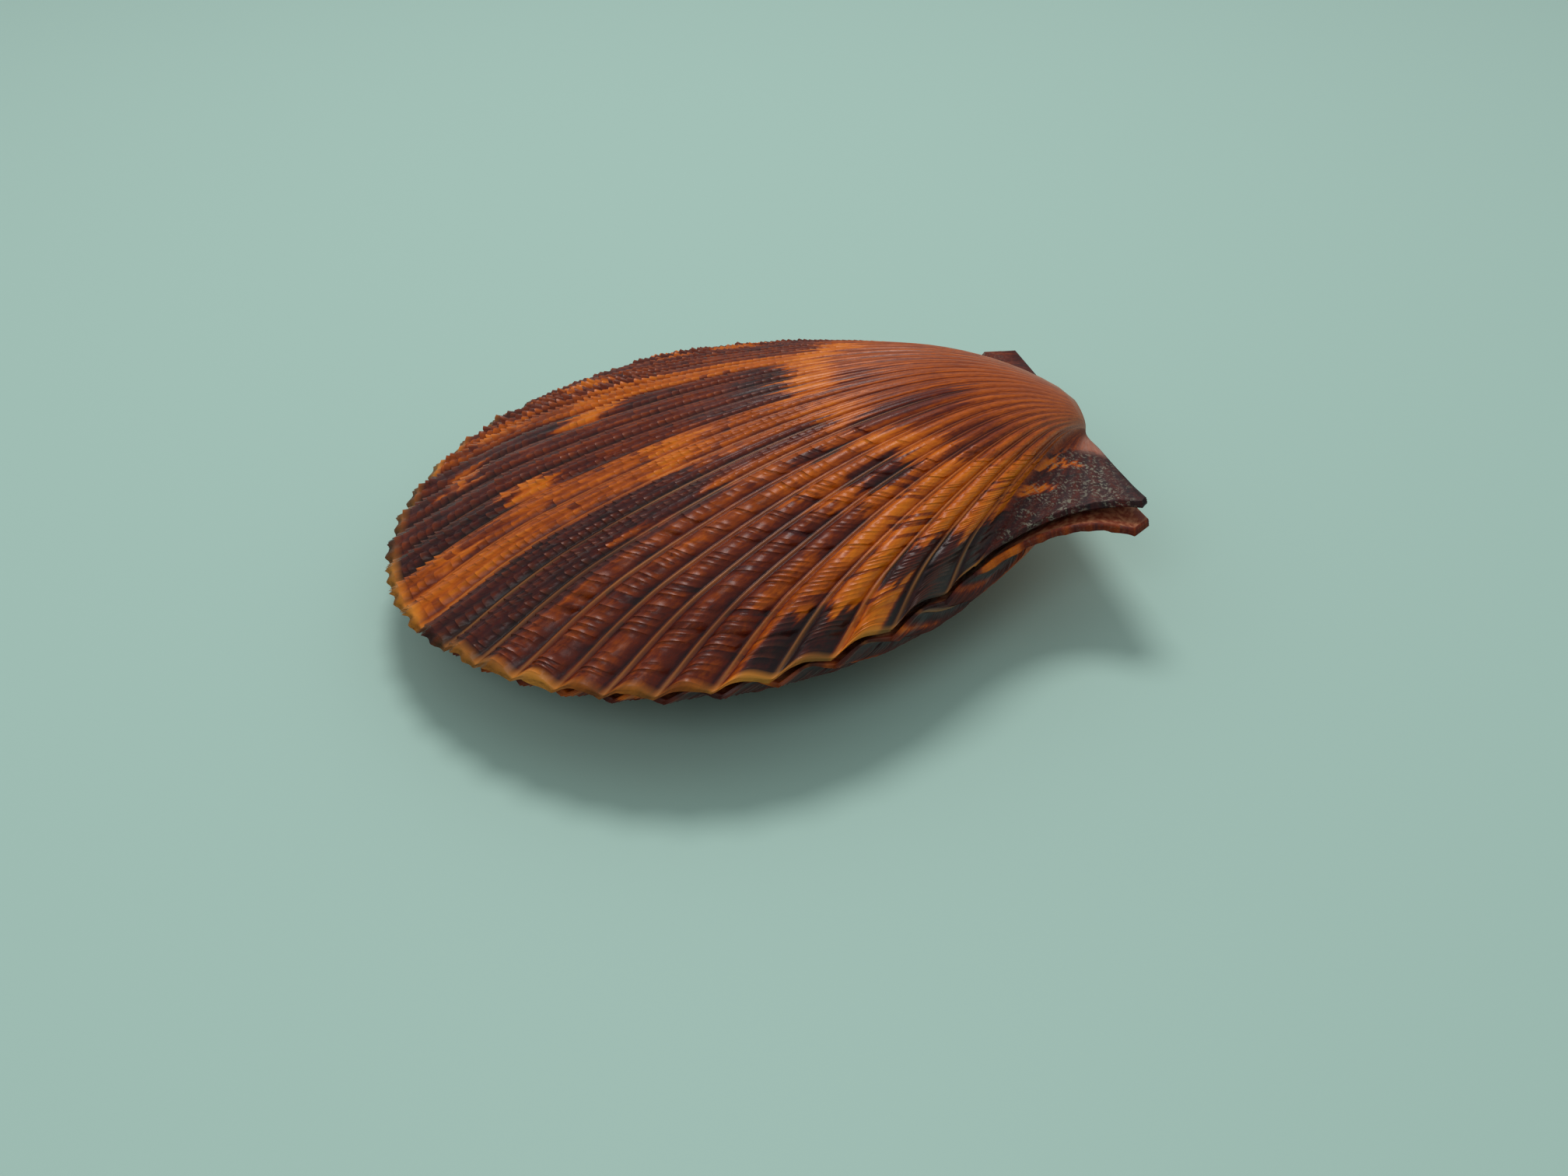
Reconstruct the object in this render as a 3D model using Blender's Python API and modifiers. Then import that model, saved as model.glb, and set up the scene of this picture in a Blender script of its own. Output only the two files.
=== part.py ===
"""A closed scallop shell: two ribbed valves and the ligament along their hinge line.

Metres, +Z up. The ventral edge points along -X and the hinge line runs along Y, with the front ears
at +Y. The shell rests on rib crests of the lower valve, tilted as it lies in the photograph.
"""
import math

import bmesh
import bpy
from mathutils import Euler, Vector

MM = 0.001
HEIGHT = 53 * MM            # hinge line to ventral edge, the driving size
GAP = 0.34 * MM             # clearance between the closed valves
REST_TILT = (-3.0, -4.2)    # degrees about X and Y: the rear side and the hinge side lie higher
REST_FLAT = 0.30 * MM       # how much the lowest rib crests are worn flat where the shell rests

# Outline of the disc, as shares of the height
DISC_CENTRE = 0.525         # distance of the widest place from the hinge line
REAR_HALF = 0.447
FRONT_HALF = 0.514
SHOULDER = 0.226            # widens the ventral side
TAPER = -0.210              # draws the sides in towards the ears
LEAN = 0.016                # the disc leans a little to the rear
SPREAD = 105.6              # degrees round the disc that the ribs would take at the middle's pace
SPREAD_SIDES = 19.4         # degrees more that the wider ribs beside the ears take

# Ribs
HALF_SPAN = 12              # ribs on each side if they all had the width of the middle ones
RIB_MIDDLE = 2.0            # where the ribs are widest, in ribs towards the front
RIB_SHIFT = 0.6
RIB_CROWDING = 0.0112       # how fast the ribs get narrower away from the widest ones
COLUMNS_PER_RIB = 4
RIB_HEIGHT = 1.15 * MM
RIB_TOP = 0.55              # below 1 makes the ribs broad and the spaces narrow
RIB_START = (0.10, 0.42)    # growth stages between which the ribs rise out of the smooth beak
BEAK_TURN = 0.50            # radians that the beak is coiled beyond the even spiral
BEAK_PACE = 6               # how closely that extra turn keeps to the beak
EAR_STEP = 0.008 * HEIGHT   # how far the disc stands above the ears

# Shell wall
WALL = 1.05 * MM
EDGE_WALL = 0.40 * MM
EAR_WALL = 0.50 * MM
BEAK_WALL = 0.25 * MM
ROWS = 10
FIRST_STAGE = 0.055
ROW_PACE = 1.15
EAR_COLUMNS = 4

# Hinge
HINGE_LIFT = 0.25 * MM      # room for the ligament between the valves
HINGE_BAND = 3.6 * MM
LIGAMENT_SIZE = (1.5 * MM, 23 * MM, 0.32 * MM)
LIGAMENT_CENTRE = (-0.45 * MM, 2.4 * MM, 0)
LIGAMENT_TAPER = 0.45       # its ends are this share of its middle's depth

# Ears: the pull, corner and tip of each free edge, as shares of the height from the hinge's middle
VALVES = {
    "left_valve": {
        "side": 1, "coil": 2.98, "rib_offset": 0.0, "gape": 0.45 * MM,
        "rear_ear": {"pull": (-0.168, 0.088), "corner": (-0.250, 0.010), "tip": (-0.240, 0.0)},
        "front_ear": {"pull": (0.232, 0.130), "corner": (0.334, 0.052), "tip": (0.318, 0.0)},
        "colour": (0.30, 0.085, 0.022, 1),
    },
    "right_valve": {
        "side": -1, "coil": 4.27, "rib_offset": 0.5, "gape": -0.30 * MM,
        "rear_ear": {"pull": (-0.185, 0.104), "corner": (-0.272, 0.030), "tip": (-0.250, 0.0)},
        "front_ear": {"pull": (0.080, 0.150), "corner": (0.332, 0.062), "tip": (0.318, 0.0)},
        "colour": (0.26, 0.075, 0.022, 1),
    },
}
LIGAMENT_COLOUR = (0.035, 0.016, 0.009, 1)
SHELL_ROUGHNESS = 0.42
LIGAMENT_ROUGHNESS = 0.6


def smooth(low, high, value):
    """0 below low, 1 above high and an even rise between them."""
    share = min(max((value - low) / (high - low), 0.0), 1.0)
    return share * share * (3 - 2 * share)


def disc_edge(place):
    """Disc outline at a place from -1 at the rear ear to 1 at the front ear."""
    angle = math.radians(SPREAD * place + SPREAD_SIDES * place ** 5)
    along = math.cos(angle)
    down = DISC_CENTRE + (1 - DISC_CENTRE) * along
    half = FRONT_HALF if place > 0 else REAR_HALF
    across = half * math.sin(angle) * (1 + SHOULDER * along + TAPER * along ** 2)
    return Vector((across - LEAN * down, down))


def ear_edge(ear, junction):
    """Free edge of an ear, from beside the disc to its tip on the hinge line."""
    pull = Vector(ear["pull"])
    corner = Vector(ear["corner"])
    points = []
    for step in range(1, EAR_COLUMNS + 1):
        t = step / EAR_COLUMNS
        points.append(junction * (1 - t) ** 2 + pull * 2 * t * (1 - t) + corner * t ** 2)
    points.append(Vector(ear["tip"]))
    return points


def rib_turn(place):
    """Rib number at a place on the disc. Whole numbers are the spaces between the ribs."""
    off = place * HALF_SPAN - RIB_MIDDLE
    return off + RIB_MIDDLE + RIB_SHIFT + RIB_CROWDING * off * abs(off)


def rib_place(turn):
    """Place on the disc that has a rib number."""
    off = turn - RIB_MIDDLE - RIB_SHIFT
    apart = (math.sqrt(1 + 4 * RIB_CROWDING * abs(off)) - 1) / (2 * RIB_CROWDING)
    return (RIB_MIDDLE + math.copysign(apart, off)) / HALF_SPAN


def margin(valve):
    """The whole edge from the rear tip to the front tip: point, place on the disc and which ear."""
    rear = ear_edge(valve["rear_ear"], disc_edge(-1))
    front = ear_edge(valve["front_ear"], disc_edge(1))
    first = math.floor(rib_turn(-1) * COLUMNS_PER_RIB) + 1
    last = math.ceil(rib_turn(1) * COLUMNS_PER_RIB)
    places = [-1.0] + [rib_place(step / COLUMNS_PER_RIB) for step in range(first, last)] + [1.0]
    columns = [(point, -1.0, -1) for point in reversed(rear)]
    columns += [(disc_edge(place), place, 0) for place in places]
    columns += [(point, 1.0, 1) for point in front]
    return columns


def rib_rise(place, offset, stage):
    """Height of the ribs. At the edge they swing evenly about the margin, so the valves interlock."""
    crest = abs(math.sin(math.pi * (rib_turn(place) + offset))) ** RIB_TOP
    inside = 1 - smooth(0.955, 1.0, abs(place))
    height = RIB_HEIGHT * stage * smooth(*RIB_START, stage) * inside
    return height * (crest - 0.5 * smooth(0.4, 1.0, stage))


def wall(ear, stage):
    """Thickness of the shell: fine at the beak, thick at mid growth and thin at the edge."""
    full = EAR_WALL if ear else WALL + (EDGE_WALL - WALL) * smooth(0.80, 1.0, stage)
    return BEAK_WALL + (full - BEAK_WALL) * smooth(0.0, 0.30, stage)


def sheet_point(valve, column, stage):
    """A point of the outer face: a growth line is the margin, shrunk and turned at the hinge."""
    point, place, ear = column
    turn = -math.log(max(stage, FIRST_STAGE)) / valve["coil"] + BEAK_TURN * (1 - stage) ** BEAK_PACE
    size = stage * HEIGHT
    across = size * point.x
    down = size * point.y * math.cos(turn)
    up = size * point.y * math.sin(turn)
    up += GAP / 2 + wall(ear, stage)
    if not ear:
        up += rib_rise(place, valve["rib_offset"], stage)
        up += EAR_STEP * 4 * stage * (1 - stage) * (1 - smooth(0.90, 1.0, abs(place)))
    up += HINGE_LIFT * (1 - smooth(0, HINGE_BAND, down))
    if ear < 0:
        up += valve["gape"] * (1 - smooth(0.0, 0.26, point.y)) * stage ** 4
    return Vector((-down, across, up * valve["side"]))


def valve_sheet(valve):
    """Outer face of one valve: a grid moved into shape, its first row joined at the beak."""
    columns = margin(valve)
    rows = [0.0]
    for row in range(ROWS):
        rows.append(FIRST_STAGE + (1 - FIRST_STAGE) * (row / (ROWS - 1)) ** ROW_PACE)
    sheet = bmesh.new()
    weights = sheet.verts.layers.deform.verify()
    bmesh.ops.create_grid(sheet, x_segments=len(columns) - 1, y_segments=ROWS, size=1)
    for vert in sheet.verts:
        column = columns[round((vert.co.x + 1) / 2 * (len(columns) - 1))]
        stage = rows[round((vert.co.y + 1) / 2 * ROWS)]
        vert.co = sheet_point(valve, column, stage)
        vert[weights][0] = wall(column[2], stage) / WALL
    bmesh.ops.remove_doubles(sheet, verts=sheet.verts, dist=1e-6)
    if valve["side"] < 0:
        bmesh.ops.reverse_faces(sheet, faces=sheet.faces)
    return sheet


def wear_flat(sheet, pose):
    """Flatten the lowest rib crests to one level plane and return its height in the pose."""
    sheet.transform(pose)
    floor = min(vert.co.z for vert in sheet.verts) + REST_FLAT
    everything = list(sheet.verts) + list(sheet.edges) + list(sheet.faces)
    bmesh.ops.bisect_plane(sheet, geom=everything, dist=1e-6, plane_co=(0, 0, floor),
                           plane_no=(0, 0, 1))
    for vert in sheet.verts:
        vert.co.z = max(vert.co.z, floor)
    sheet.transform(pose.inverted())
    return floor


def material(name, colour, roughness):
    """A plain Principled material in the piece's main colour."""
    made = bpy.data.materials.new(name)
    made.use_nodes = True
    shader = made.node_tree.nodes["Principled BSDF"]
    shader.inputs["Base Color"].default_value = colour
    shader.inputs["Roughness"].default_value = roughness
    shader.inputs["Metallic"].default_value = 0.0
    return made


def add_object(name, shape, collection, look):
    """Turn a bmesh into a smooth-shaded object of the shell's collection."""
    mesh = bpy.data.meshes.new(name)
    shape.to_mesh(mesh)
    shape.free()
    mesh.shade_smooth()
    mesh.materials.append(look)
    thing = bpy.data.objects.new(name, mesh)
    collection.objects.link(thing)
    return thing


def build_valve(name, valve, pose, collection):
    """One valve: the outer face made solid inwards. Returns it and its resting height, if any."""
    sheet = valve_sheet(valve)
    floor = wear_flat(sheet, pose) if valve["side"] < 0 else None
    thing = add_object(name, sheet, collection, material(name, valve["colour"], SHELL_ROUGHNESS))
    thing.vertex_groups.new(name="wall")
    solid = thing.modifiers.new("wall", "SOLIDIFY")
    solid.thickness = WALL
    solid.offset = -1
    solid.vertex_group = "wall"
    solid.use_rim = True
    return thing, floor


def build_ligament(collection):
    """The dark band that joins the valves: a bar between the hinge edges with tapered ends."""
    bar = bmesh.new()
    bmesh.ops.create_cube(bar, size=1)
    long_edges = [e for e in bar.edges if abs(e.verts[0].co.y - e.verts[1].co.y) > 0.5]
    bmesh.ops.subdivide_edges(bar, edges=long_edges, cuts=7)
    for vert in bar.verts:
        depth = 1 - (1 - LIGAMENT_TAPER) * (2 * abs(vert.co.y)) ** 2
        vert.co.x = (vert.co.x - 0.5) * depth + 0.5
        vert.co = Vector(a * b for a, b in zip(vert.co, LIGAMENT_SIZE)) + Vector(LIGAMENT_CENTRE)
    look = material("hinge_ligament", LIGAMENT_COLOUR, LIGAMENT_ROUGHNESS)
    return add_object("hinge_ligament", bar, collection, look)


def main():
    for thing in list(bpy.data.objects):
        bpy.data.objects.remove(thing, do_unlink=True)
    collection = bpy.data.collections.new("scallop_shell")
    bpy.context.scene.collection.children.link(collection)

    turn = Euler([math.radians(angle) for angle in REST_TILT] + [0])
    pose = turn.to_matrix().to_4x4()
    pieces = [build_ligament(collection)]
    floor = 0
    for name, valve in VALVES.items():
        thing, resting = build_valve(name, valve, pose, collection)
        pieces.append(thing)
        floor = resting or floor

    for thing in pieces:
        thing.rotation_euler = turn
    bpy.context.view_layer.update()
    solved = bpy.context.evaluated_depsgraph_get()
    corners = []
    for thing in pieces:
        corners += [thing.matrix_world @ vert.co for vert in thing.evaluated_get(solved).data.vertices]
    middle = [(min(c[axis] for c in corners) + max(c[axis] for c in corners)) / 2 for axis in (0, 1)]
    for thing in pieces:
        thing.location = (-middle[0], -middle[1], -floor)


main()
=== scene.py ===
import math

import bmesh
import bpy
import numpy as np
from mathutils import Euler, Matrix, Vector, noise


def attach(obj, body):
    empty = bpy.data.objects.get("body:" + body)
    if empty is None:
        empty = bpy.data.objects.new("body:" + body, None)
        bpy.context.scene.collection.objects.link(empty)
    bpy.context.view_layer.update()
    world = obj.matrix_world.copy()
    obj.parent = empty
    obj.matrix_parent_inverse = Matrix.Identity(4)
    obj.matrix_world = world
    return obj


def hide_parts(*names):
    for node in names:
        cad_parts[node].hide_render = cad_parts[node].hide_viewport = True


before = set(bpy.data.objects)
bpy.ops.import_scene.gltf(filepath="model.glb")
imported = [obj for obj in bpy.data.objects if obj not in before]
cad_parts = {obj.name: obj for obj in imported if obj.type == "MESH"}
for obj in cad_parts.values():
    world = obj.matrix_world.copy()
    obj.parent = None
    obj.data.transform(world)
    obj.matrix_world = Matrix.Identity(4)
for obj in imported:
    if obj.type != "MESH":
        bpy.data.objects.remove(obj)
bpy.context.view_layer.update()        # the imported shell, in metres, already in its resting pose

mm = 0.001

# the shell's own shape, with the same values as its solids; lengths without mm are shares of the height
shellShape = {
    "height": 53 * mm,          # hinge line to ventral edge
    "gap": 0.34 * mm,           # left between the two valves
    "restTilt": (-3.0, -4.2),   # how the shell lies, in degrees about x and y
    "restPlace": (26.290 * mm, -1.265 * mm, 8.330 * mm),
    "discCentre": 0.525,
    "rearHalf": 0.447,
    "frontHalf": 0.514,
    "shoulder": 0.226,
    "taper": -0.210,
    "lean": 0.016,
    "spread": 105.6,            # degrees from the middle of the disc to each ear
    "spreadSides": 19.4,
    "halfSpan": 12,             # ribs on each side of the middle
    "ribMiddle": 2.0,
    "ribShift": 0.6,
    "ribCrowding": 0.0112,      # the ribs stand closer towards the ears
    "ribHeight": 1.15 * mm,
    "beakTurn": 0.50,           # how far the beak coils, in radians
    "beakPace": 6,
    "firstStage": 0.055,
    "earStep": 0.008 * 53 * mm,
    "earSpan": 6,               # an ear counts as this many ribs
    "wall": 1.05 * mm,
    "edgeWall": 0.28 * mm,
    "earWall": 0.50 * mm,
    "beakWall": 0.25 * mm,
    "hingeLift": 0.25 * mm,
    "hingeBand": 3.6 * mm,
}

# fine relief that the solids leave out; widths are shares of one rib with its space
relief = {
    "ribSteps": (0, .035, .07, .105, .15, .20, .25, .31, .37, .43,
                 .50, .57, .63, .69, .75, .80, .85, .895, .93, .965),
    "earSteps": 22,
    "beakRows": (.03, .055, .08, .105, .13, .155, .18, .205, .23, .255, .28),
    "innerRows": (.985, .965, .93, .88, .80, .70, .58, .46, .35, .26, .18, .11, .055),
    # the layered edge: how far each row stands out, and how deep in the wall it is
    "edgeRows": ((0.0, 0.0), (-0.0045, 0.22), (0.0040, 0.30),
                 (-0.0040, 0.52), (0.0022, 0.60), (-0.0050, 1.0)),
    "edgeWave": 0.62,           # how deep the wave of the edge is, as a share of the rib
    "edgeTooth": 0.006,
    "firstScale": 0.30,         # growth stage where the scales begin
    "lastScale": 0.984,
    "spacing": (0.50 * mm, 0.66 * mm),
    "rootLead": 0.16,
    "lift": (0.04 * mm, 0.21 * mm),
    "overhang": 0.10,
    "uneven": 0.30,             # how much two broad scales differ in their distance
    "scaleWidth": 0.13,
    "broadScaleWidth": 0.37,
    "space": 0.085,
    "flank": 0.36,
    "flatness": 0.60,
    "thread": 0.42,             # height of the thread in each space, as a share of the rib
    "threadWidth": 0.058,
    "threadLine": 0.044,        # width of the thread's pale colour
    "riblet": 0.13 * mm,
    "ribletPlaces": (0.20, 0.50, 0.80),
    "ribletWidth": 0.08,
    "broadWidth": 0.26,
    "earRiblet": 0.10 * mm,
    "sway": 0.06 * mm,
}


def smooth(low, high, value):
    share = min(max((value - low) / (high - low), 0.0), 1.0)
    return share * share * (3 - 2 * share)


def scatter(a, b, c=0.0):
    # an even, repeatable number from 0 to 1 for a rib, a scale and a use
    return (math.sin(a * 127.1 + b * 311.7 + c * 74.7) * 43758.5453) % 1.0


def ribTurn(place):
    s = shellShape
    off = place * s["halfSpan"] - s["ribMiddle"]
    return off + s["ribMiddle"] + s["ribShift"] + s["ribCrowding"] * off * abs(off)


def ribPlace(turn):
    s = shellShape
    off = turn - s["ribMiddle"] - s["ribShift"]
    apart = (math.sqrt(1 + 4 * s["ribCrowding"] * abs(off)) - 1) / (2 * s["ribCrowding"])
    return (s["ribMiddle"] + math.copysign(apart, off)) / s["halfSpan"]


def discEdge(place):
    s = shellShape
    angle = math.radians(s["spread"] * place + s["spreadSides"] * place ** 5)
    along = math.cos(angle)
    down = s["discCentre"] + (1 - s["discCentre"]) * along
    half = s["frontHalf"] if place > 0 else s["rearHalf"]
    across = half * math.sin(angle) * (1 + s["shoulder"] * along + s["taper"] * along ** 2)
    return Vector((across - s["lean"] * down, down))


def wallAt(ear, stage):
    s = shellShape
    full = s["earWall"] if ear else s["wall"] + (s["edgeWall"] - s["wall"]) * smooth(0.80, 1.0, stage)
    return s["beakWall"] + (full - s["beakWall"]) * smooth(0.0, 0.30, stage)


def earColumns(ear, side, firstTurn):
    # the lines of one ear, from beside the disc to its tip on the hinge line
    pull, corner, tip = (Vector(ear[name]) for name in ("pull", "corner", "tip"))
    junction = discEdge(float(side))
    columns = []
    for step in range(1, relief["earSteps"] + 1):
        share = step / relief["earSteps"]
        t = min(share / 0.9, 1.0)
        if t < 1.0:
            point = junction * (1 - t) ** 2 + pull * 2 * t * (1 - t) + corner * t ** 2
        else:
            t = (share - 0.9) / 0.1
            point = corner * (1 - t) + tip * t
        turn = firstTurn + side * shellShape["earSpan"] * share
        columns.append({"point": point, "place": float(side), "ear": side, "turn": turn, "share": share})
    return columns


def marginColumns(valve):
    # every line that runs from the beak to the edge: its edge point and what it crosses
    offset = valve["ribOffset"]
    first, last = ribTurn(-1) + offset, ribTurn(1) + offset
    turns = [first]
    for rib in range(math.floor(first), math.ceil(last) + 1):
        turns += [rib + step for step in relief["ribSteps"] if first + 0.02 < rib + step < last - 0.02]
    turns.append(last)
    disc = []
    for turn in turns:
        place = min(max(ribPlace(turn - offset), -1.0), 1.0)
        disc.append({"point": discEdge(place), "place": place, "ear": 0, "turn": turn, "share": 0.0})
    rear = earColumns(valve["rearEar"], -1, first)
    front = earColumns(valve["frontEar"], 1, last)
    return rear[::-1] + disc + front


def bareShell(valve, column, stage):
    # the smooth outer face, before the ribs
    s = shellShape
    point, place, ear = column["point"], column["place"], column["ear"]
    setBack = valve["setBack"] * smooth(0.5, 1.0, stage) * (1 - abs(ear))
    point = point * (1 - setBack * smooth(0.30, 0.62, point.y))
    turn = -math.log(max(stage, s["firstStage"])) / valve["coil"]
    turn += s["beakTurn"] * (1 - stage) ** s["beakPace"]
    size = stage * s["height"]
    down = size * point.y * math.cos(turn)
    up = size * point.y * math.sin(turn) + s["gap"] / 2 + wallAt(ear, stage)
    if not ear:
        up += s["earStep"] * 4 * stage * (1 - stage) * (1 - smooth(0.90, 1.0, abs(place)))
    up += s["hingeLift"] * (1 - smooth(0, s["hingeBand"], down))
    if ear < 0:
        up += valve["gape"] * (1 - smooth(0.0, 0.26, point.y)) * stage ** 4
    return Vector((-down, size * point.x, up * valve["side"]))


def broadness(valve, turn):
    # towards the rear the riblets of a rib merge under broad scales
    return smooth(*valve["broadRibs"], turn)


def edgeArch(valve, across):
    # the wave of the very edge: round arches above, and a lower edge that fits into them
    wave = 0.5 - 0.5 * math.cos(2 * math.pi * across)
    if valve["side"] > 0:
        arch = math.sin(math.pi * across) ** 0.9
    else:
        arch = 1 - abs(math.cos(math.pi * across)) ** 0.9
    return 0.5 + (0.55 * arch + 0.45 * wave - 0.5) * relief["edgeWave"]


def ribForm(valve, column, stage):
    # rise of the ribs and riblets above the bare shell, and the parts of it that take colour
    r = relief
    if column["ear"]:
        share = column["share"]
        wave = math.sin(math.pi * share * valve["earRiblets"]) ** 2
        return r["earRiblet"] * wave * smooth(0.25, 0.7, stage) * smooth(0, 0.08, share), 0.0, wave
    turn = column["turn"]
    across = turn - math.floor(turn)             # from one space to the next
    fromSpace = min(across, 1 - across)
    inside = 1 - smooth(0.955, 1.0, abs(column["place"]))
    height = shellShape["ribHeight"] * stage * smooth(0.05, 0.36, stage) * inside
    body = math.sin(math.pi / 2 * min(max((fromSpace - r["space"]) / r["flank"], 0.0), 1.0)) ** 0.8
    meet = smooth(0.90, 1.0, stage)              # at the edge the two valves' waves fit each other
    body += (edgeArch(valve, across) - body) * meet
    thread = r["thread"] * math.exp(-(fromSpace / r["threadWidth"]) ** 4) * (1 - meet)
    low = r["flatness"] * (1 - smooth(0.88, 1.0, stage))     # the ribs are lower away from the edge
    rise = height * ((body + thread) * (1 - low) + 0.62 * low - 0.5 * smooth(0.4, 1.0, stage))

    broad = broadness(valve, turn)
    narrow = sum(math.exp(-((across - place) / r["ribletWidth"]) ** 2) for place in r["ribletPlaces"])
    wide = 0.75 * math.exp(-((across - 0.5) / r["broadWidth"]) ** 4) + 0.15 * narrow
    riblets = narrow * (1 - broad) + wide * broad
    fine = smooth(0.08, 0.5, stage) * (0.5 + 0.5 * stage) * inside
    rise += r["riblet"] * (riblets - 0.6) * fine

    pale = 0.62 + 0.55 * noise.noise(Vector((round(turn) * 1.3, stage * 7, valve["seed"] + 30)))
    rearward = 0.25 + 0.75 * smooth(1.5, -3.5, turn)
    shown = math.exp(-(fromSpace / r["threadLine"]) ** 2) * fine * pale * rearward
    return rise, shown, min(riblets, 1.0)


def scaleForm(valve, column, number):
    # how high a scale stands here, from 0 to about 1, how far it runs ahead of its row, and its own number
    r = relief
    if column["ear"]:
        share = column["share"]
        riblet = math.floor(share * valve["earRiblets"])
        bump = math.sin(math.pi * share * valve["earRiblets"]) ** 2
        bump *= smooth(0, 0.1, share) * (1 - smooth(0.9, 1, share))
        lift = 0.45 * bump * (0.5 + 0.8 * scatter(riblet, number, 3))
        return lift, scatter(riblet, 0, 5) - 0.5, riblet + 200
    turn = column["turn"]
    rib = math.floor(turn)
    across = turn - rib
    broad = broadness(valve, turn)
    centre = min(r["ribletPlaces"], key=lambda place: abs(across - place))
    riblet = rib * 3 + r["ribletPlaces"].index(centre)
    narrow = (1 - min(abs(across - centre) / r["scaleWidth"], 1) ** 2) ** 0.8
    wide = (1 - min(abs(across - 0.5) / r["broadScaleWidth"], 1) ** 2) ** 0.55
    lift = narrow * (1 - broad) * (0.30 + 0.95 * scatter(riblet, number, 1))
    lift += wide * broad * (0.08 + 0.84 * scatter(rib, number, 2))
    phase = (scatter(riblet, 0, 7) - 0.5) * (1 - broad) + (scatter(rib, 0, 8) - 0.5) * broad
    phase += r["uneven"] * (scatter(rib, number, 9) - 0.5) * broad
    phase *= smooth(0.0, 0.14, min(across, 1 - across))
    ahead = phase * 0.9 + 0.30 * narrow * (1 - broad) + 0.55 * wide * broad
    tile = riblet if broad < 0.5 else rib * 3 + 1
    inside = 1 - smooth(0.97, 1.0, abs(column["place"]))
    return lift * inside, ahead, tile


def growthRows():
    # from the beak out over the scales, round the edge and back inside to the beak
    r = relief
    rows = [{"kind": "beak", "stage": 0.0, "number": 0}]
    rows += [{"kind": "plain", "stage": stage, "number": 0} for stage in r["beakRows"]]
    stage, number = r["firstScale"], 1
    while stage < r["lastScale"]:
        step = (r["spacing"][0] + (r["spacing"][1] - r["spacing"][0]) * stage) / shellShape["height"]
        # each scale starts a little beyond the last lip, so that a low step is a slope and not a wall
        rows.append({"kind": "root", "stage": stage + r["rootLead"] * step, "number": number, "step": step})
        rows.append({"kind": "lip", "stage": stage + step, "number": number, "step": step})
        stage += step
        number += 1
    rows.append({"kind": "root", "stage": rows[-1]["stage"] + 0.002, "number": number, "step": 0.01})
    for ahead, depth in r["edgeRows"]:
        rows.append({"kind": "edge", "stage": 1.0 + ahead, "depth": depth, "number": number})
    rows += [{"kind": "inner", "stage": stage, "number": 0} for stage in r["innerRows"]]
    rows.append({"kind": "inner", "stage": 0.0, "number": 0})
    return rows


def steer(valve, columns, index, stage):
    # outward direction of the smooth shell at a column and growth stage
    low, high = max(index - 1, 0), min(index + 1, len(columns) - 1)
    stage = max(stage, 0.06)
    across = bareShell(valve, columns[high], stage) - bareShell(valve, columns[low], stage)
    along = bareShell(valve, columns[index], stage + 0.004) - bareShell(valve, columns[index], stage - 0.004)
    return (across.cross(along) * valve["side"]).normalized()


def raiseScale(valve, column, row):
    # where a row of scales runs and how high it stands at a column, with its tints
    stage, turn = row["stage"], column["turn"]
    low, high = relief["lift"]
    lift, ahead, tile = scaleForm(valve, column, row["number"])
    fade = smooth(0.30, 0.42, stage) * (1 - smooth(0.955, 0.985, stage))
    begun = smooth(0.29, 0.50, stage)
    drift = noise.noise(Vector((turn * 0.7, stage * 9, valve["seed"]))) * 0.8
    shift = ahead * fade + drift * fade
    strength = (low + (high - low) * smooth(0.32, 0.98, stage)) * valve["wearAt"](turn, stage)
    patch = noise.noise(Vector((turn * 0.45, stage * 8, valve["seed"] + 20)))
    strength *= 0.45 + 0.85 * smooth(-0.35, 0.45, patch)     # the scales stand better in some places
    hang = relief["overhang"] * min(lift, 1) * begun
    tint = min(lift, 1.2) * begun
    if row["kind"] == "lip":
        return stage + row["step"] * (shift + hang), strength * lift * begun, tile, tint, 0.0
    # the root row's tint is painted shade under the lip above it, stronger where that lip stands taller
    return stage + row["step"] * (shift - 0.5 * hang), 0.0, tile, 0.0, tint


def edgeShift(valve, column, index, row, crest):
    # the edge is ruffled in layers, and toothed by the riblets or by the fine saw of the ears
    seed, depth = valve["seed"], row["depth"]
    ruffle = 0.5 + 0.5 * noise.noise(Vector((column["turn"] * 1.7, depth * 9, seed + 5)))
    frill = noise.noise(Vector((column["turn"] * 4.6, depth * 5, seed + 9)))
    reach = (row["stage"] - 1.0) * (0.3 + 1.8 * ruffle) + 1.0 + 0.004 * frill * (1 - depth)
    tooth = scatter(index, 1) - 0.4 if column["ear"] else crest - 0.5
    reach += relief["edgeTooth"] * tooth
    return bareShell(valve, column, reach) - bareShell(valve, column, row["stage"])


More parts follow.
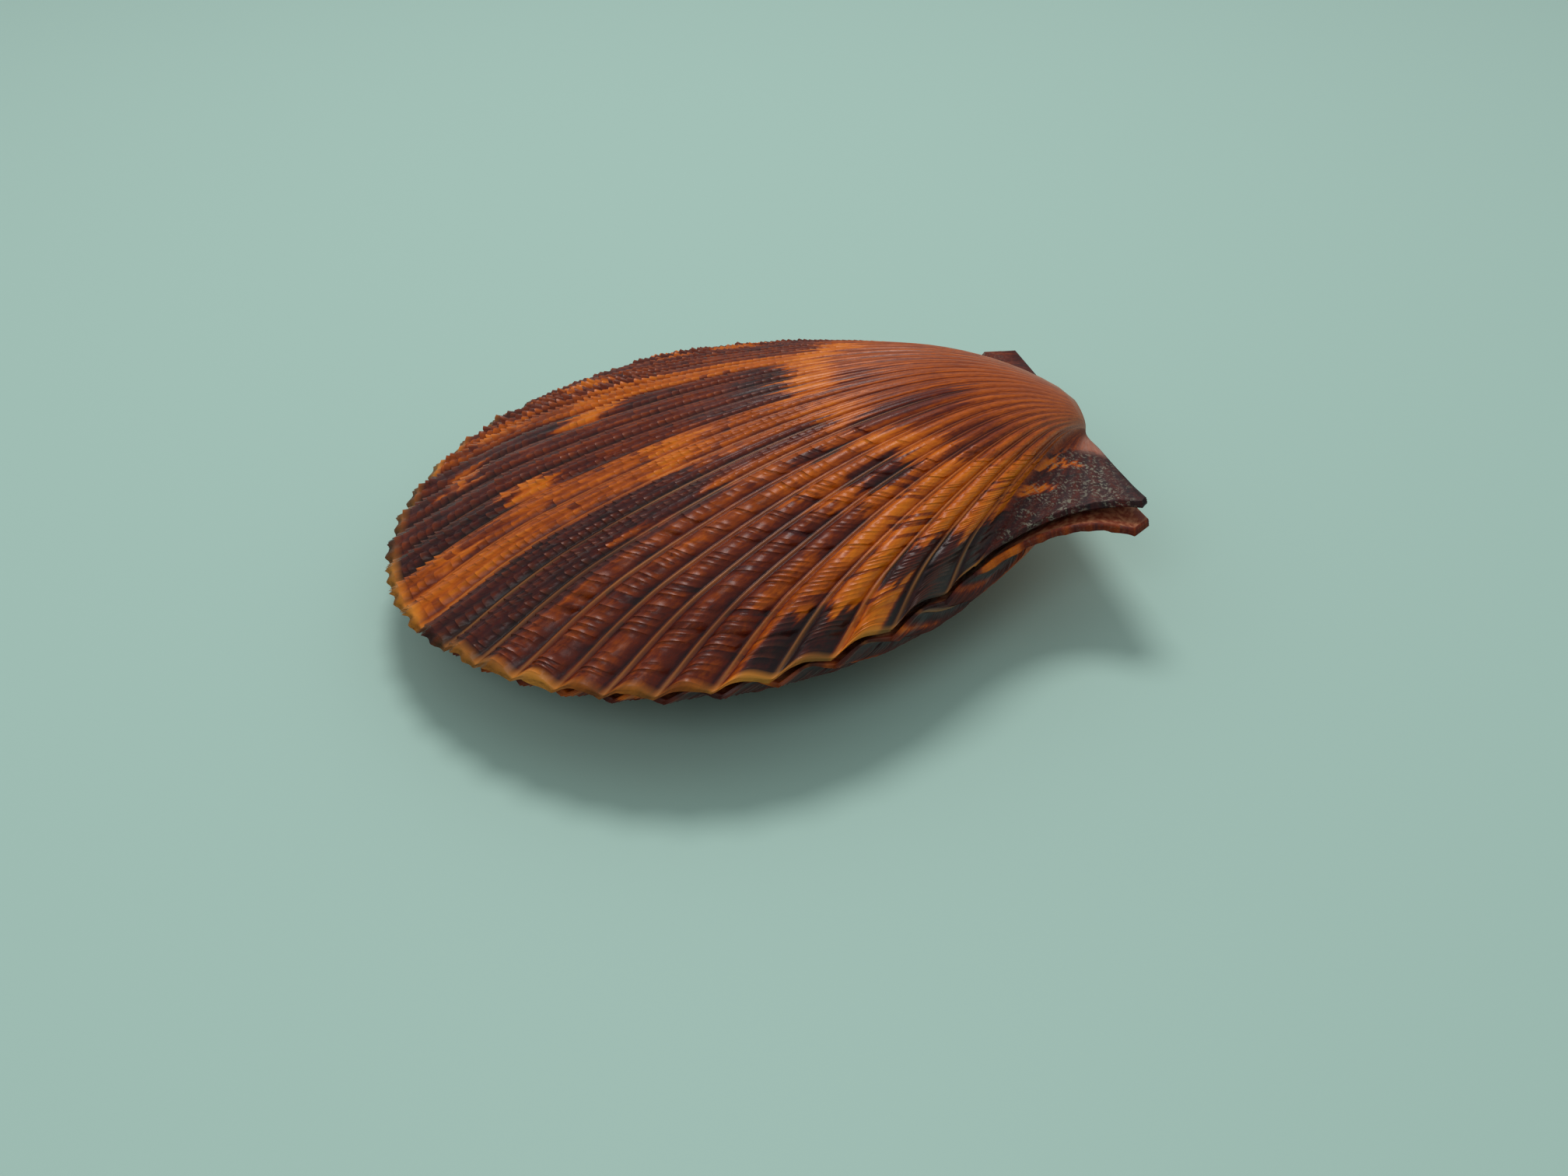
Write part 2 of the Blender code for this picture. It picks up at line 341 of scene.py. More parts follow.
def placeVertex(valve, columns, index, row):
    # where one vertex of the valve goes, with the values that its colour needs
    column, kind, stage = columns[index], row["kind"], row["stage"]
    raised = lip = root = 0.0
    if kind in ("root", "lip"):
        stage, raised, tile, lip, root = raiseScale(valve, column, row)
    else:
        tile = scaleForm(valve, column, row["number"])[2]
    rise, thread, crest = ribForm(valve, column, min(stage, 1.0))
    bare = bareShell(valve, column, stage)
    out = steer(valve, columns, index, min(stage, 0.99))
    lean = 1 - smooth(0.80, 0.97, stage)
    up = (Vector((0, 0, valve["side"])) * (1 - lean) + out * lean).normalized()
    if kind in ("inner", "edge"):
        inner = innerRise(valve, column, min(stage, 1.0))
        wall = wallAt(column["ear"], min(stage, 1.0))
        bottom = bare + up * inner - out * wall
        if kind == "inner":
            return bottom, tile, lip, root, 0.0, crest
        spot = (bare + up * rise).lerp(bottom, row["depth"]) + edgeShift(valve, column, index, row, crest)
        return spot, tile, lip, root, thread, crest
    if not column["ear"]:
        wander = noise.noise(Vector((column["turn"] * 0.9, stage * 6, valve["seed"] + 11)))
        raised += wander * relief["sway"] * smooth(0.2, 0.5, stage)
    return bare + up * rise + out * raised, tile, lip, root, thread, crest


def innerRise(valve, column, stage):
    # the inner face follows the ribs only near the edge, where the two valves interlock
    if column["ear"]:
        return 0.0
    across = column["turn"] - math.floor(column["turn"])
    inside = 1 - smooth(0.955, 1.0, abs(column["place"]))
    height = shellShape["ribHeight"] * stage * smooth(0.10, 0.42, stage) * inside
    return height * (edgeArch(valve, across) * smooth(0.72, 0.95, stage) - 0.5 * smooth(0.4, 1.0, stage))


def limited(values):
    return np.clip(values, 0, 1)                 # between 0 and 1


def markTone(marks, turn, stage, ground):
    # paints the marks over one another: 0 is bright orange and 1 nearly black
    softAcross, softAlong = 0.10, 0.012
    tone = np.full(len(turn), ground)
    rough = 0.012 * np.sin(turn * 7.3) + 0.012 * np.sin(turn * 17.1 + stage * 9) + 0.009 * np.sin(turn * 31.7)
    ragged = stage + rough                       # the marks' ends are ragged
    for low, high, start, end, value, strength in marks:
        across = limited((turn - low) / softAcross + 0.5) * limited((high - turn) / softAcross + 0.5)
        along = limited((ragged - start) / softAlong + 0.5) * limited((end - ragged) / softAlong + 0.5)
        tone += (value - tone) * across * along * strength
    return tone


def layValve(valve, skin):
    # bends a flat grid into the valve, and keeps on each vertex what its colour needs
    keys = ("turn", "stage", "tile", "lip", "root", "thread", "crest", "within", "ear", "rim")
    layers = {key: skin.verts.layers.float.new(key) for key in keys}
    columns = marginColumns(valve)
    rows = growthRows()
    bmesh.ops.create_grid(skin, x_segments=len(columns) - 1, y_segments=len(rows) - 1, size=1)
    for vert in skin.verts:
        index = round((vert.co.x + 1) / 2 * (len(columns) - 1))
        row = rows[round((vert.co.y + 1) / 2 * (len(rows) - 1))]
        column = columns[index]
        vert.co, tile, lip, root, thread, crest = placeVertex(valve, columns, index, row)
        values = {"turn": column["turn"], "stage": row["stage"], "tile": scatter(tile, row["number"], 4),
                  "lip": lip, "root": root, "thread": thread, "crest": crest, "ear": abs(column["ear"]),
                  "within": row["kind"] == "inner", "rim": row["kind"] == "edge"}
        for key, value in values.items():
            vert[layers[key]] = float(value)
    growth = skin.loops.layers.uv.new("growth")
    for face in skin.faces:
        for loop in face.loops:
            # the ribs and ears together count as about 40
            loop[growth].uv = (loop.vert[layers["turn"]] / 40 + 0.5, loop.vert[layers["stage"]])
    return layers


def closeHinge(skin, layers):
    # the hinge side is still open: join the outer and the inner face there, then close the two ends
    bmesh.ops.remove_doubles(skin, verts=skin.verts, dist=1e-7)
    opened = [edge for edge in skin.edges if edge.is_boundary]
    rings = []
    for flag in (0.0, 1.0):
        rings += [edge for edge in opened
                  if all(vert[layers["within"]] == flag and vert[layers["rim"]] == 0 for vert in edge.verts)]
    bmesh.ops.bridge_loops(skin, edges=rings)
    bmesh.ops.holes_fill(skin, edges=[edge for edge in skin.edges if edge.is_boundary], sides=0)
    bmesh.ops.recalc_face_normals(skin, faces=skin.faces)


def restPose():
    tilt = Euler([math.radians(angle) for angle in shellShape["restTilt"]] + [0])
    return Matrix.Translation(shellShape["restPlace"]) @ tilt.to_matrix().to_4x4()


def finishPiece(name, form, node):
    # makes a bmesh a piece that stands for a node of the frame
    print(name, "open edges", sum(not edge.is_manifold for edge in form.edges))
    mesh = bpy.data.meshes.new(name)
    form.to_mesh(mesh)
    form.free()
    for face in mesh.polygons:
        face.use_smooth = True
    piece = bpy.data.objects.new(name, mesh)
    bpy.context.scene.collection.objects.link(piece)
    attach(piece, "root")
    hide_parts(node)
    print(name, "has", len(mesh.polygons), "faces")
    return piece


def buildValve(name, valve):
    skin = bmesh.new()
    layers = layValve(valve, skin)
    closeHinge(skin, layers)
    for edge in skin.edges:
        if all(vert[layers["lip"]] > 0.25 for vert in edge.verts):
            edge.smooth = False                  # the lip of a scale is a crisp edge
    skin.transform(restPose())
    if valve["side"] < 0:
        for vert in skin.verts:
            vert.co.z = max(vert.co.z, 0.0)      # the lowest crests are worn flat where the shell rests
    piece = finishPiece(name, skin, valve["node"])
    addColourFields(piece.data, valve)
    return piece


def readField(mesh, key):
    values = np.zeros(len(mesh.vertices), dtype=np.float32)
    mesh.attributes[key].data.foreach_get("value", values)
    return values.astype(float)


def addField(mesh, key, values):
    field = mesh.attributes.new(key, "FLOAT", "POINT")
    field.data.foreach_set("value", np.asarray(values, dtype=np.float32))


def addColourFields(mesh, valve):
    turn, stage, tile, ear = (readField(mesh, key) for key in ("turn", "stage", "tile", "ear"))
    disc = ear < 0.5
    grown = limited((stage - 0.3) / 0.25)
    early = limited((stage - 0.05) / 0.2)
    tone = markTone(valve["marks"], turn, stage, valve["ground"])
    # single scales darker than the rest, in clouds
    cloud = 0.5 + 0.25 * np.sin(turn * 1.9 + 3 * np.sin(stage * 11)) + 0.25 * np.sin(stage * 31 + turn * 2.3)
    spot = limited((tile - 0.84) / 0.06) * limited((cloud - 0.45) / 0.2)
    # painted shade: darker in the grooves between the riblets, where the crest is low
    grooveShade = (0.55 - readField(mesh, "crest")) * 0.16 * early
    # painted shade: a dark line runs along each side of a thread, in the grooves beside it
    flank = np.exp(-((np.abs(turn - np.round(turn)) - 0.108) / 0.03) ** 2) * 0.22 * early * disc
    spots = spot * valve["mottle"] * grown * limited(1.1 - tone)
    tone = tone + (tile - 0.5) * 0.07 * grown + grooveShade + flank + spots
    # the last growth is pale in patches
    edge = limited((stage - 0.982) / 0.015) * disc
    patchy = 0.5 + 0.3 * np.sin(turn * 1.3 + 2) + 0.2 * np.sin(turn * 3.1)
    addField(mesh, "tone", limited(tone - edge * 0.45 * patchy))
    addField(mesh, "edge", edge * patchy)
    # pale crust on the outer part of the ears, and a worn patch beside the beak
    rear, front = 13.6, 13.7                     # where the ears begin, in ribs from the middle
    share = limited(np.maximum(-turn - rear, turn - front) / shellShape["earSpan"]) * ear
    crusted = limited((stage - 0.30) / 0.2) * limited(share / 0.15) * limited((0.97 - share) / 0.1)
    addField(mesh, "frost", valve["frosted"] * ear * crusted)
    rubbed = limited((0.42 - stage) / 0.1) * limited((stage - 0.08) / 0.1) * limited((share - 0.35) / 0.2)
    addField(mesh, "worn", ear * rubbed)


def linkNodes(tree, source, target):
    tree.links.new(source, target)


def newNode(tree, kind, place=(0, 0), **values):
    node = tree.nodes.new(kind)
    node.location = place
    for key, value in values.items():
        if hasattr(node, key):
            setattr(node, key, value)
        else:
            node.inputs[key].default_value = value
    return node


def newGroup(name, takes, gives):
    tree = bpy.data.node_groups.new(name, "ShaderNodeTree")
    for key, kind, value in takes:
        socket = tree.interface.new_socket(key, in_out="INPUT", socket_type=kind)
        if value is not None:
            socket.default_value = value
    for key, kind in gives:
        tree.interface.new_socket(key, in_out="OUTPUT", socket_type=kind)
    start = newNode(tree, "NodeGroupInput", (-900, 0))
    end = newNode(tree, "NodeGroupOutput", (700, 0))
    return tree, start, end


def mathNode(tree, operation, a, b=None, clamp=False, place=(0, 0)):
    node = newNode(tree, "ShaderNodeMath", place, operation=operation, use_clamp=clamp)
    for socket, value in zip(node.inputs, (a, b)):
        if value is None:
            continue
        if isinstance(value, (int, float)):
            socket.default_value = value
        else:
            linkNodes(tree, value, socket)
    return node.outputs[0]


def mixColours(tree, factor, a, b, blend="MIX", place=(0, 0)):
    node = newNode(tree, "ShaderNodeMix", place, data_type="RGBA", blend_type=blend)
    for socket, value in ((node.inputs[0], factor), (node.inputs[6], a), (node.inputs[7], b)):
        if isinstance(value, (int, float, tuple)):
            socket.default_value = value
        else:
            linkNodes(tree, value, socket)
    return node.outputs[2]


def streakGroup():
    # uneven streaks that follow the ribs, finer or coarser by their two scales
    takes = [("Growth", "NodeSocketVector", None), ("Across", "NodeSocketFloat", 60.0),
             ("Along", "NodeSocketFloat", 20.0)]
    tree, start, end = newGroup("growthStreaks", takes, [("Streak", "NodeSocketFloat")])
    join = newNode(tree, "ShaderNodeCombineXYZ", (-650, -150), Z=1.0)
    linkNodes(tree, start.outputs["Across"], join.inputs["X"])
    linkNodes(tree, start.outputs["Along"], join.inputs["Y"])
    scaled = newNode(tree, "ShaderNodeVectorMath", (-400, 0), operation="MULTIPLY")
    linkNodes(tree, start.outputs["Growth"], scaled.inputs[0])
    linkNodes(tree, join.outputs[0], scaled.inputs[1])
    cloud = newNode(tree, "ShaderNodeTexNoise", (-150, 0), Scale=1.0, Detail=3.0, Roughness=0.6)
    linkNodes(tree, scaled.outputs[0], cloud.inputs["Vector"])
    linkNodes(tree, cloud.outputs[0], end.inputs["Streak"])
    return tree


def speckGroup():
    # small scattered specks, from a share of all that the surface could have
    takes = [("Place", "NodeSocketVector", None), ("Scale", "NodeSocketFloat", 3000.0),
             ("Share", "NodeSocketFloat", 0.3)]
    tree, start, end = newGroup("fineSpecks", takes, [("Speck", "NodeSocketFloat")])
    cloud = newNode(tree, "ShaderNodeTexNoise", (-500, 0), Detail=2.0, Roughness=0.7)
    linkNodes(tree, start.outputs["Place"], cloud.inputs["Vector"])
    linkNodes(tree, start.outputs["Scale"], cloud.inputs["Scale"])
    more = mathNode(tree, "MULTIPLY", start.outputs["Share"], 0.32, place=(-500, -300))
    level = mathNode(tree, "SUBTRACT", 0.78, more, place=(-300, -300))
    above = mathNode(tree, "SUBTRACT", cloud.outputs[0], level, place=(-100, 0))
    sharp = mathNode(tree, "MULTIPLY", above, 14.0, clamp=True, place=(150, 0))
    linkNodes(tree, sharp, end.inputs["Speck"])
    return tree


def grainGroup():
    # fine height that keeps a surface from looking moulded
    takes = [("Place", "NodeSocketVector", None), ("Scale", "NodeSocketFloat", 2500.0)]
    tree, start, end = newGroup("shellGrain", takes, [("Height", "NodeSocketFloat")])
    small = newNode(tree, "ShaderNodeTexNoise", (-400, 100), Detail=4.0, Roughness=0.65)
    linkNodes(tree, start.outputs["Place"], small.inputs["Vector"])
    linkNodes(tree, start.outputs["Scale"], small.inputs["Scale"])
    linkNodes(tree, small.outputs[0], end.inputs["Height"])
    return tree


def ramp(tree, factor, stops, place=(0, 0)):
    node = newNode(tree, "ShaderNodeValToRGB", place)
    band = node.color_ramp
    while len(band.elements) < len(stops):
        band.elements.new(0.5)
    for element, (at, colour) in zip(band.elements, stops):
        element.position = at
        element.color = (*colour, 1)
    linkNodes(tree, factor, node.inputs[0])
    return node.outputs[0]


def fieldNode(tree, key, place=(0, 0)):
    node = newNode(tree, "ShaderNodeAttribute", place, attribute_name=key)
    return node.outputs["Fac"]


def liftLow(tree, value, low, strength, place=(0, 0), clamp=True):
    # how far a value is above its low level, made stronger
    above = mathNode(tree, "SUBTRACT", value, low, place=place)
    return mathNode(tree, "MULTIPLY", above, strength, clamp=clamp, place=(place[0] + 150, place[1]))


# what the paint of a valve reads from its mesh, and what differs between the two valves
paintFields = ("Tone", "Thread", "Lip", "Root", "Edge", "Frost", "Worn", "Within", "Ear")
valveTints = ("Edge Colour", "Inner Colour", "Inner Deep")


def paintGroup(look, groups):
    # the colour and the gloss of a valve, from the fields that its mesh carries
    takes = [("Growth", "NodeSocketVector", None), ("Place", "NodeSocketVector", None)]
    takes += [(field, "NodeSocketFloat", 0.0) for field in paintFields]
    takes += [("Edge Show", "NodeSocketFloat", 1.0)]
    takes += [(key, "NodeSocketColor", look[key]) for key in valveTints]
    gives = [("Color", "NodeSocketColor"), ("Roughness", "NodeSocketFloat")]
    tree, start, end = newGroup("shellPaint", takes, gives)
    start.location = (-1700, 0)
    end.location = (1100, 0)

    def streaks(scales, place):
        node = newNode(tree, "ShaderNodeGroup", place, node_tree=groups["streaks"])
        linkNodes(tree, start.outputs["Growth"], node.inputs["Growth"])
        node.inputs["Across"].default_value, node.inputs["Along"].default_value = scales
        return node.outputs[0]

    # streaks make the tone uneven before it turns into colour
    coarse = streaks(look["coarseScales"], (-1300, 300))
    fine = streaks(look["fineScales"], (-1300, 100))
    coarseSwing = liftLow(tree, coarse, 0.5, look["coarse"], (-1050, 300), clamp=False)
    fineSwing = liftLow(tree, fine, 0.5, look["fine"], (-1050, 100), clamp=False)
    uneven = mathNode(tree, "ADD", coarseSwing, fineSwing, place=(-700, 200))
    depth = mathNode(tree, "ADD", start.outputs["Tone"], uneven, clamp=True, place=(-500, 300))
    colour = ramp(tree, depth, look["tones"], (-300, 300))

    # threads, the lips and roots of the scales, and the edge; the dark root colour is painted shade under
    # each lip above it, and partly the shell's own maroon arcs
    layers = [("Thread", look["threadShow"], look["threadColour"]),
              ("Lip", look["lipShow"], look["lipColour"]),
              ("Root", look["rootShadeShow"], look["rootShadeColour"]),
              ("Edge", start.outputs["Edge Show"], start.outputs["Edge Colour"])]
    for step, (field, show, tint) in enumerate(layers):
        at = step * 180
        share = mathNode(tree, "MULTIPLY", start.outputs[field], show, clamp=True, place=(at - 100, 600))
        colour = mixColours(tree, share, colour, tint, place=(at, 300))

    # pale crust in patches of small specks
    specks = newNode(tree, "ShaderNodeGroup", (-200, -600), node_tree=groups["specks"])
    linkNodes(tree, start.outputs["Place"], specks.inputs["Place"])
    specks.inputs["Scale"].default_value = look["frostScale"]
    specks.inputs["Share"].default_value = look["frostShare"]
    patches = newNode(tree, "ShaderNodeTexNoise", (-200, -900), Detail=3.0, Roughness=0.6)
    patches.inputs["Scale"].default_value = look["patchScale"]
    linkNodes(tree, start.outputs["Place"], patches.inputs["Vector"])
    cover = liftLow(tree, patches.outputs[0], 0.36, 5.0, (0, -900))
    speck = specks.outputs[0]
    frost = mathNode(tree, "MULTIPLY", start.outputs["Frost"], speck, clamp=True, place=(300, -500))
    frost = mathNode(tree, "MULTIPLY", frost, cover, place=(450, -600))
    colour = mixColours(tree, frost, colour, look["frostColour"], place=(600, 200))
    worn = mathNode(tree, "MULTIPLY", start.outputs["Worn"], coarse, clamp=True, place=(450, -750))
    colour = mixColours(tree, worn, colour, look["wornColour"], place=(720, 200))

    # the inner face
    wash = liftLow(tree, coarse, 0.42, 5.0, (300, 500))
    deep, pale = start.outputs["Inner Deep"], start.outputs["Inner Colour"]
    inner = mixColours(tree, wash, deep, pale, place=(650, 450))
    colour = mixColours(tree, start.outputs["Within"], colour, inner, place=(850, 200))
    linkNodes(tree, colour, end.inputs["Color"])

    # the ears are duller than the ribs
    gloss = mathNode(tree, "MULTIPLY", fine, look["glossSwing"], place=(500, -100))
    gloss = mathNode(tree, "ADD", gloss, look["roughness"], place=(650, -100))
    dull = mathNode(tree, "MULTIPLY", start.outputs["Ear"], look["earDull"], place=(650, -250))
    linkNodes(tree, mathNode(tree, "ADD", gloss, dull, place=(850, -150)), end.inputs["Roughness"])
    return tree


def addGrain(tree, where, groups, settings, place):
    # fine bumps: the scale of the grain, how strong the bumps are and how deep
    scale, strength, depth = settings
    grain = newNode(tree, "ShaderNodeGroup", place, node_tree=groups["grain"])
    linkNodes(tree, where.outputs["Object"], grain.inputs["Place"])
    grain.inputs["Scale"].default_value = scale
    bump = newNode(tree, "ShaderNodeBump", (place[0] + 200, place[1]), Strength=strength, Distance=depth)
    linkNodes(tree, grain.outputs[0], bump.inputs["Height"])
    linkNodes(tree, bump.outputs[0], tree.nodes["Principled BSDF"].inputs["Normal"])


def shellMaterial(name, look, groups):
    made = bpy.data.materials.new(name)
    made.use_nodes = True
    tree = made.node_tree
    shader = tree.nodes["Principled BSDF"]
    shader.location = (600, 0)
    where = newNode(tree, "ShaderNodeTexCoord", (-600, -300))
    growth = newNode(tree, "ShaderNodeUVMap", (-600, 500), uv_map="growth")
    paint = newNode(tree, "ShaderNodeGroup", (200, 200), node_tree=groups["paint"])
    linkNodes(tree, growth.outputs[0], paint.inputs["Growth"])
    linkNodes(tree, where.outputs["Object"], paint.inputs["Place"])
    for step, field in enumerate(paintFields):
        linkNodes(tree, fieldNode(tree, field.lower(), (-200, 500 - 130 * step)), paint.inputs[field])
    for key in ("Edge Show",) + valveTints:
        paint.inputs[key].default_value = look[key]
    linkNodes(tree, paint.outputs["Color"], shader.inputs["Base Color"])
    linkNodes(tree, paint.outputs["Roughness"], shader.inputs["Roughness"])
    shader.inputs["Specular IOR Level"].default_value = look["shine"]
    addGrain(tree, where, groups, look["grain"], (200, -300))
    return made


def shade(red, green, blue):
    # a colour given as it is seen on screen
    return tuple(((value / 255 + 0.055) / 1.055) ** 2.4 for value in (red, green, blue))


shellLook = {
    "tones": [(0.0, shade(230, 124, 20)), (0.22, shade(202, 96, 12)), (0.42, shade(152, 64, 12)),
              (0.60, shade(106, 36, 18)), (0.80, shade(70, 26, 26)), (1.0, shade(36, 23, 27))],
    "coarse": 0.55,
    "coarseScales": (130.0, 16.0),       # across the ribs and along them
    "fine": 0.45,
    "fineScales": (420.0, 90.0),
    "threadShow": 0.9,
    "threadColour": (*shade(182, 116, 60), 1),
    "lipShow": 0.12,
    "lipColour": (*shade(206, 116, 60), 1),
    # painted shade under the lip of each scale, partly the shell's own dark arcs: a near black at each
    # scale's root
    "rootShadeShow": 0.30,
    "rootShadeColour": (*shade(48, 18, 18), 1),
    "Edge Show": 1.0,
    "Edge Colour": (*shade(226, 146, 58), 1),
    "Inner Colour": (*shade(206, 160, 128), 1),
    "Inner Deep": (*shade(150, 84, 50), 1),
    "frostShare": 0.78,
    "frostScale": 3600.0,
    "patchScale": 520.0,
    "frostColour": (*shade(136, 130, 114), 1),
    "wornColour": (*shade(205, 146, 126), 1),
    "roughness": 0.18,
    "glossSwing": 0.3,
    "earDull": 0.28,
    "shine": 0.25,
    "grain": (2600.0, 0.35, 0.05 * mm),
}


# the lower valve is painted the same way, with a darker edge and a redder inner face
lowerLook = dict(shellLook)
lowerLook.update({
    "Edge Show": 0.35,
    "Edge Colour": (*shade(140, 76, 44), 1),
    "Inner Colour": (*shade(176, 112, 78), 1),
    "Inner Deep": (*shade(124, 50, 26), 1),
})


def leftWear(turn, stage):
    # the crown and the rearmost ribs are worn smooth, and the front ribs keep tall scales
    crown = 1 - 0.4 * math.exp(-((turn - 1.0) / 4.0) ** 2) * math.exp(-((stage - 0.5) / 0.22) ** 2)
    front = 1 + 1.3 * smooth(3, 6, turn) * smooth(0.5, 0.75, stage)
    rear = (1 + 0.35 * smooth(-4, -6, turn)) * (1 - 0.65 * smooth(-8, -10, turn))
    return crown * front * rear


leftValve = {
    "node": "left_valve",
    "side": 1,
    "coil": 2.98,               # the lower it is, the deeper the valve
    "setBack": 0.0,             # how far the edge stands back, as a share
    "ribOffset": 0.0,
    "gape": 0.45 * mm,          # how far the rear ear bends up
    "rearEar": {"pull": (-0.168, 0.088), "corner": (-0.250, 0.010), "tip": (-0.240, 0.0)},
    "frontEar": {"pull": (0.232, 0.130), "corner": (0.334, 0.052), "tip": (0.318, 0.0)},
    "earRiblets": 7,
    "broadRibs": (-3.2, -5.2),
    "seed": 3.0,
    "wearAt": leftWear,
    "ground": 0.34,             # tone where there is no mark
    "mottle": 0.32,
    "frosted": 0.85,
    # ribs from and to, growth from and to, tone, strength
    "marks": [
        # the beak, and the dark streaks around it
        (-30, 30, -1, 0.40, 0.36, 0.7),
        (-9.8, -7.3, 0.27, 0.42, 0.58, 0.7), (-5.8, -5.0, 0.27, 0.41, 0.62, 0.9),
        (-4.7, -3.2, 0.25, 0.42, 0.68, 0.9),
        (-0.7, 1.3, 0.33, 0.41, 0.58, 0.8), (-2.6, -1.8, 0.29, 0.36, 0.50, 0.6),
        # a bright band across the ribs
        (-8.5, -5.0, 0.38, 0.45, 0.10, 0.8), (-3.8, -1.6, 0.38, 0.44, 0.10, 0.8),
        (-0.5, 7.2, 0.38, 0.44, 0.05, 1.0),
        # the rear ribs, bright above and dark at the edge
        (-13.6, -9.1, 0.42, 0.72, 0.12, 0.9), (-9.1, -5.5, 0.52, 0.60, 0.22, 0.8),
        (-8.4, -7.55, 0.46, 0.54, 0.80, 1.0), (-7.5, -6.7, 0.44, 0.53, 0.76, 1.0),
        (-5.2, -4.5, 0.48, 0.53, 0.82, 1.0),
        (-9.0, -4.4, 0.60, 1.2, 0.64, 0.85), (-6.3, -4.5, 0.58, 0.76, 0.42, 0.8),
        (-5.2, -4.2, 0.80, 0.92, 0.46, 0.6),
        (-9.4, -8.5, 0.72, 0.84, 0.30, 0.7), (-3.6, -2.6, 0.43, 1.2, 0.70, 0.9),
        (-4.4, -2.2, 0.62, 1.2, 0.80, 1.0),
        (-4.2, -3.7, 0.70, 0.76, 0.30, 0.8),
        (-13.7, -11.4, 0.78, 1.2, 0.96, 1.0), (-12.4, -10.7, 0.74, 0.84, 0.84, 1.0),
        (-10.9, -9.4, 0.86, 1.2, 0.93, 1.0),
        (-11.0, -10.2, 0.70, 0.88, 0.14, 1.0), (-11.8, -11.0, 0.85, 1.2, 0.12, 1.0),
        (-12.9, -12.5, 0.70, 0.82, 0.16, 1.0),
        # the middle ribs: a bright stretch between dark ones
        (-2.1, 0.0, 0.44, 0.58, 0.34, 0.8), (-2.1, 0.0, 0.58, 0.645, 0.06, 1.0),
        (-2.1, 0.0, 0.645, 0.84, 0.32, 0.9),
        (-2.1, -0.9, 0.84, 1.2, 0.20, 0.9), (-0.9, 0.0, 0.84, 0.90, 0.52, 0.8),
        (-0.9, 0.0, 0.90, 0.93, 0.10, 0.9),
        (0.1, 4.1, 0.44, 0.69, 0.64, 0.9), (0.1, 3.1, 0.69, 0.83, 0.68, 0.9),
        (0.1, 1.0, 0.44, 0.55, 0.78, 0.8),
        (1.0, 1.9, 0.44, 0.50, 0.84, 1.0), (2.0, 2.8, 0.44, 0.50, 0.84, 1.0),
        (3.2, 3.9, 0.46, 0.50, 0.82, 0.9),
        (0.0, 1.0, 0.76, 0.82, 0.10, 1.0), (0.0, 1.0, 0.83, 1.2, 0.84, 1.0),
        (1.0, 4.0, 0.83, 1.2, 0.74, 0.95),
        (3.0, 4.1, 0.62, 0.67, 0.75, 1.0), (3.0, 4.1, 0.69, 0.75, 0.08, 1.0),
        (3.1, 4.1, 0.76, 0.86, 0.80, 1.0),
        (2.2, 3.2, 0.87, 0.92, 0.15, 1.0), (4.1, 5.4, 0.44, 0.78, 0.18, 0.9),
        (4.1, 5.4, 0.80, 1.2, 0.50, 0.8),
        # the front ribs
        (4.4, 5.2, 0.86, 0.94, 0.16, 0.9), (5.3, 13.8, 0.44, 1.2, 0.60, 0.9),
        (5.8, 6.7, 0.77, 0.85, 0.14, 1.0),
        (6.6, 7.4, 0.86, 1.2, 0.22, 0.9), (5.9, 6.8, 0.93, 1.2, 0.80, 0.9),
        (7.3, 13.8, 0.46, 1.2, 0.70, 0.8),
        (8.2, 9.4, 0.58, 0.67, 0.16, 1.0), (9.0, 10.6, 0.80, 0.90, 0.18, 1.0),
        (11.4, 12.6, 0.62, 0.74, 0.14, 0.9),
        (7.5, 8.3, 0.72, 0.78, 0.20, 0.8),
        # the ears
        (-19.7, -13.6, 0.36, 1.2, 0.84, 1.0), (-19.7, -13.6, 0.0, 0.36, 0.55, 0.9),
        (-14.7, -13.7, 0.40, 0.49, 0.10, 1.0), (-15.6, -14.6, 0.45, 0.51, 0.10, 1.0),
        (-16.4, -15.5, 0.49, 0.53, 0.14, 1.0),
        (-17.1, -16.3, 0.52, 0.55, 0.22, 1.0), (-14.4, -13.7, 0.60, 0.68, 0.12, 1.0),
        (-15.0, -14.3, 0.65, 0.71, 0.12, 1.0),
        (-15.6, -14.9, 0.69, 0.73, 0.18, 1.0), (-19.7, -18.9, 0.1, 1.2, 0.96, 1.0),
        (13.7, 19.8, 0.3, 1.2, 0.66, 1.0), (13.7, 15.5, 0.5, 0.62, 0.3, 1.0),
        (14.5, 17.0, 0.72, 0.8, 0.35, 1.0),
    ],
}


def rightWear(turn, stage):
    return 1.0                           # even all over


